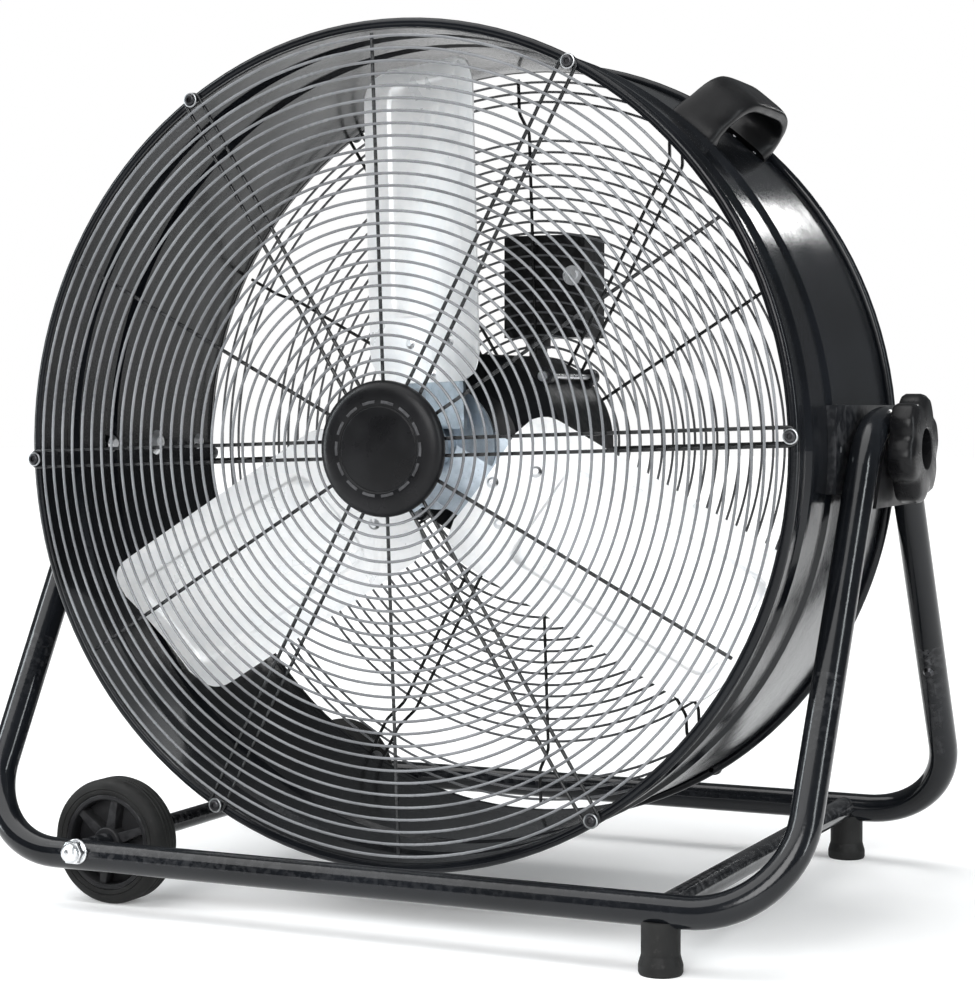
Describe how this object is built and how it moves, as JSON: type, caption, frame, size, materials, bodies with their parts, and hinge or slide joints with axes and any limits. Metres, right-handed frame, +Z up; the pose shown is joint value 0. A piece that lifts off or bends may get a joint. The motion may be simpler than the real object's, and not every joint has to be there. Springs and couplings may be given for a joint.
{
  "type": "drum fan",
  "caption": "Wheeled steel drum fan with flat front wire guard and rear basket guard, tilting between two tube yokes on a low tubular base",
  "frame": {"origin": "centre of the footprint on the floor, under the drum's tilt axis", "axes": "+Z up, -Y is the front where the air leaves, +X is the side of the rubber feet, -X the side of the wheels"},
  "size_m": [0.7456, 0.52, 0.69],
  "materials": {
    "drum_shell": "gloss black enamel",
    "guard_wire": "black coated wire",
    "zinc": "bright zinc plate",
    "dark_screw": "black oxide",
    "cap_plastic": "fine satin grain",
    "galvanised": "galvanised sheet",
    "spider_steel": "blued zinc steel",
    "motor_paint": "black enamel",
    "bearing_steel": "ground steel",
    "lamination": "stacked sheet",
    "copper": "enamelled copper",
    "box_paint": "black powder coat",
    "switch_plastic": "moulded",
    "handle_plastic": "moulded, fine grain",
    "knob_plastic": "moulded, fine grain",
    "tube_paint": "gloss black enamel",
    "tyre_rubber": "solid rubber",
    "wheel_plastic": "moulded",
    "foot_rubber": "moulded rubber",
    "nylon": "natural nylon"
  },
  "bodies": {
    "stand": {"front_base_tube": "tube_paint", "rear_base_tube": "tube_paint", "left_yoke": "tube_paint", "right_yoke": "tube_paint", "left_pivot_block": "handle_plastic", "right_pivot_block": "handle_plastic", "frame_screws": "dark_screw", "cross_tube": "tube_paint", "front_foot": "foot_rubber", "rear_foot": "foot_rubber", "foot_bolts": "zinc", "axle_rod": "zinc", "axle_cap_nuts": "zinc", "axle_spacers": "tube_paint"},
    "drum": {"drum_shell": "drum_shell", "front_guard": "guard_wire", "rear_guard": "guard_wire", "guard_screws": "dark_screw", "centre_cap": "cap_plastic", "guard_centre_disc": "zinc", "motor_shell": "motor_paint", "front_bell": "motor_paint", "rear_bell": "motor_paint", "motor_through_bolts": "zinc", "front_bearing": "bearing_steel", "rear_bearing": "bearing_steel", "stator_core": "lamination", "stator_windings": "copper", "motor_plate": "motor_paint", "guard_clamp_plate": "motor_paint", "motor_mount_bolts": "zinc", "switch_box": "box_paint", "switch_box_cover": "box_paint", "cover_screws": "zinc", "box_clamp_screw": "zinc", "speed_switch": "switch_plastic", "capacitor": "switch_plastic", "cable_gland": "switch_plastic", "carry_handle": "handle_plastic", "handle_screws": "zinc", "left_saddle": "motor_paint", "right_saddle": "motor_paint", "saddle_rivets": "zinc", "pivot_bolts": "zinc", "friction_washers": "nylon"},
    "fan": {"fan_blade_1": "galvanised", "fan_blade_2": "galvanised", "fan_blade_3": "galvanised", "blade_spider": "spider_steel", "blade_rivets": "zinc", "rotor_core": "lamination", "motor_shaft": "bearing_steel", "hub_nut": "zinc"},
    "left_knob": {"left_tilt_knob": "knob_plastic"},
    "right_knob": {"right_tilt_knob": "knob_plastic"},
    "speed_dial": {"speed_knob": "switch_plastic"},
    "front_wheel": {"front_tyre": "tyre_rubber", "front_wheel_hub": "wheel_plastic"},
    "rear_wheel": {"rear_tyre": "tyre_rubber", "rear_wheel_hub": "wheel_plastic"}
  },
  "joints": [
    {"name": "drum_tilt", "type": "hinge", "parent": "stand", "child": "drum", "pos_m": [0, 0, 0.365], "axis": [1, 0, 0], "range_deg": [-90, 12]},
    {"name": "fan_spin", "type": "hinge", "parent": "drum", "child": "fan", "pos_m": [0, 0, 0.365], "axis": [0, 1, 0], "continuous": true},
    {"name": "left_knob_turn", "type": "hinge", "parent": "drum", "child": "left_knob", "pos_m": [0, 0, 0.365], "axis": [1, 0, 0], "range_deg": [-180, 180]},
    {"name": "right_knob_turn", "type": "hinge", "parent": "drum", "child": "right_knob", "pos_m": [0, 0, 0.365], "axis": [1, 0, 0], "range_deg": [-180, 180]},
    {"name": "speed_dial_turn", "type": "hinge", "parent": "drum", "child": "speed_dial", "pos_m": [0.003, 0.1643, 0.515], "axis": [0, 1, 0], "range_deg": [0, 135]},
    {"name": "front_wheel_spin", "type": "hinge", "parent": "stand", "child": "front_wheel", "pos_m": [-0.236, -0.19, 0.05], "axis": [0, 1, 0], "continuous": true},
    {"name": "rear_wheel_spin", "type": "hinge", "parent": "stand", "child": "rear_wheel", "pos_m": [-0.236, 0.19, 0.05], "axis": [0, 1, 0], "continuous": true}
  ]
}
